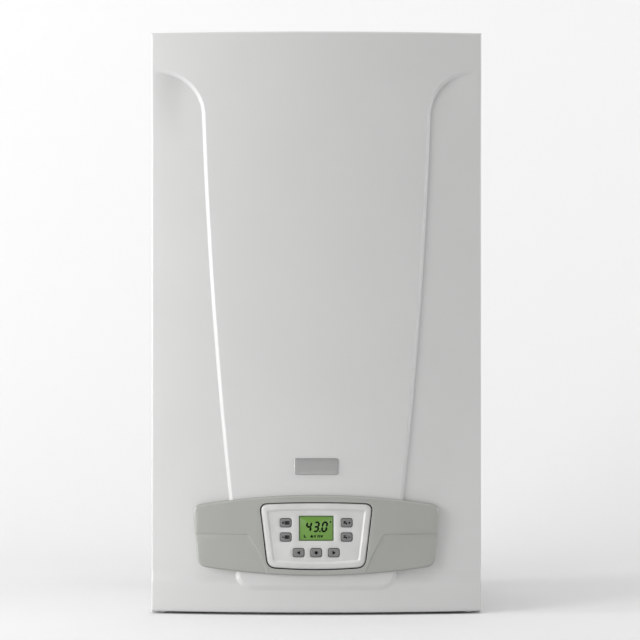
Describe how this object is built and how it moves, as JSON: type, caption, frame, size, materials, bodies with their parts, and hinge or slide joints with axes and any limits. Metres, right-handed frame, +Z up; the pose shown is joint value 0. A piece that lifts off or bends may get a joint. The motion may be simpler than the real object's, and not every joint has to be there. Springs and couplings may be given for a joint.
{
  "type": "combi boiler",
  "caption": "Wall-hung gas combi boiler with a bowed white cover, a winged grey control bezel with a green display and keys, and its burner, fan, pump and pipework inside.",
  "frame": {"origin": "middle of the case's foot: half way across, half way from the wall to the foremost point of the control bezel, at the lower edge of the side panels", "axes": "+Z up, -Y towards the front cover, +Y towards the wall, +X to the right as seen from the front"},
  "size_m": [0.4, 0.299, 0.707],
  "materials": {
    "white_enamel": "satin powder coat",
    "silver_plate": "satin",
    "grey_plastic": "fine satin moulding",
    "white_plastic": "fine satin moulding",
    "key_grey": "soft matt",
    "display_green": "clear gloss",
    "galvanised": "zinc coated",
    "stainless": "brushed",
    "cast_aluminium": "as cast",
    "black_plastic": "fine texture",
    "yellow_plastic": "satin",
    "red_plastic": "satin",
    "copper": "drawn copper",
    "brass": "turned",
    "red_enamel": "satin enamel",
    "board_green": "solder resist",
    "ceramic_white": "glazed",
    "clear_lens": "clear"
  },
  "bodies": {
    "case": {"side_panel_left": "white_enamel", "side_panel_right": "white_enamel", "back_plate": "galvanised", "top_plate": "galvanised", "bottom_plate": "galvanised", "cover_screw_left": "galvanised", "cover_screw_right": "galvanised", "flue_socket": "black_plastic", "air_inlet_cap": "black_plastic", "flue_pipe": "white_plastic", "heat_exchanger": "stainless", "burner_door": "cast_aluminium", "burner": "stainless", "ignition_electrode": "ceramic_white", "burner_elbow": "cast_aluminium", "fan_housing": "cast_aluminium", "fan_motor": "black_plastic", "gas_mixer": "cast_aluminium", "gas_valve": "cast_aluminium", "expansion_vessel": "red_enamel", "pump_body": "black_plastic", "pump_motor": "cast_aluminium", "plate_heat_exchanger": "stainless", "diverter_block": "black_plastic", "diverter_motor": "white_plastic", "condensate_trap": "white_plastic", "gas_pipe": "copper", "mixer_pipe": "copper", "flow_pipe": "copper", "return_pipe": "copper", "union_heating_flow": "brass", "union_hot_water": "brass", "union_gas": "brass", "union_cold_water": "brass", "union_heating_return": "brass", "gauge_body": "black_plastic", "gauge_lens": "clear_lens"},
    "cover": {"front_cover": "white_enamel", "control_bezel": "grey_plastic", "badge_plate": "silver_plate"},
    "control_box": {"control_tray": "black_plastic", "control_lid": "black_plastic", "control_facia": "white_plastic", "display_module": "display_green", "display_board": "board_green", "main_board": "board_green"},
    "button_mode": {"button_mode": "key_grey"},
    "button_reset": {"button_reset": "key_grey"},
    "button_heating": {"button_heating": "key_grey"},
    "button_hot_water": {"button_hot_water": "key_grey"},
    "button_down": {"button_down": "key_grey"},
    "button_ok": {"button_ok": "key_grey"},
    "button_up": {"button_up": "key_grey"},
    "fan_impeller": {"fan_impeller": "cast_aluminium"},
    "lever_heating_flow": {"lever_heating_flow": "black_plastic"},
    "lever_gas": {"lever_gas": "yellow_plastic"},
    "lever_heating_return": {"lever_heating_return": "black_plastic"},
    "relief_knob": {"relief_knob": "red_plastic"},
    "gauge_needle": {"gauge_needle": "red_plastic"}
  },
  "joints": [
    {"name": "cover_pull", "type": "slide", "parent": "case", "child": "cover", "axis": [0, -1, 0], "range_m": [0, 0.45]},
    {"name": "control_box_tilt", "type": "hinge", "parent": "case", "child": "control_box", "pos_m": [0, -0.105, 0.05], "axis": [1, 0, 0], "range_deg": [0, 90]},
    {"name": "button_mode_press", "type": "slide", "parent": "control_box", "child": "button_mode", "axis": [0, 1, 0], "range_m": [0, 0.0008], "stiffness_N_per_m": 1500},
    {"name": "button_reset_press", "type": "slide", "parent": "control_box", "child": "button_reset", "axis": [0, 1, 0], "range_m": [0, 0.0008], "stiffness_N_per_m": 1500},
    {"name": "button_heating_press", "type": "slide", "parent": "control_box", "child": "button_heating", "axis": [0, 1, 0], "range_m": [0, 0.0008], "stiffness_N_per_m": 1500},
    {"name": "button_hot_water_press", "type": "slide", "parent": "control_box", "child": "button_hot_water", "axis": [0, 1, 0], "range_m": [0, 0.0008], "stiffness_N_per_m": 1500},
    {"name": "button_down_press", "type": "slide", "parent": "control_box", "child": "button_down", "axis": [0, 1, 0], "range_m": [0, 0.0008], "stiffness_N_per_m": 1500},
    {"name": "button_ok_press", "type": "slide", "parent": "control_box", "child": "button_ok", "axis": [0, 1, 0], "range_m": [0, 0.0008], "stiffness_N_per_m": 1500},
    {"name": "button_up_press", "type": "slide", "parent": "control_box", "child": "button_up", "axis": [0, 1, 0], "range_m": [0, 0.0008], "stiffness_N_per_m": 1500},
    {"name": "fan_spin", "type": "hinge", "parent": "case", "child": "fan_impeller", "pos_m": [-0.105, -0.06, 0.6], "axis": [0, 1, 0], "continuous": true},
    {"name": "lever_heating_flow_turn", "type": "hinge", "parent": "case", "child": "lever_heating_flow", "pos_m": [-0.13, 0.0705, 0.025], "axis": [0, 1, 0], "range_deg": [0, 90]},
    {"name": "lever_gas_turn", "type": "hinge", "parent": "case", "child": "lever_gas", "pos_m": [0, 0.0705, 0.025], "axis": [0, 1, 0], "range_deg": [0, 90]},
    {"name": "lever_heating_return_turn", "type": "hinge", "parent": "case", "child": "lever_heating_return", "pos_m": [0.13, 0.0705, 0.025], "axis": [0, 1, 0], "range_deg": [0, 90]},
    {"name": "relief_knob_turn", "type": "hinge", "parent": "case", "child": "relief_knob", "pos_m": [-0.147, 0.026, 0.1], "axis": [0, 1, 0], "range_deg": [0, 45]},
    {"name": "gauge_needle_turn", "type": "hinge", "parent": "case", "child": "gauge_needle", "pos_m": [-0.06, -0.03, 0.0525], "axis": [0, 0, 1], "range_deg": [-120, 120]}
  ],
  "couplings": [
    {"joint": "control_box_tilt", "follows": "cover_pull", "rad_per_m": 3.49}
  ]
}
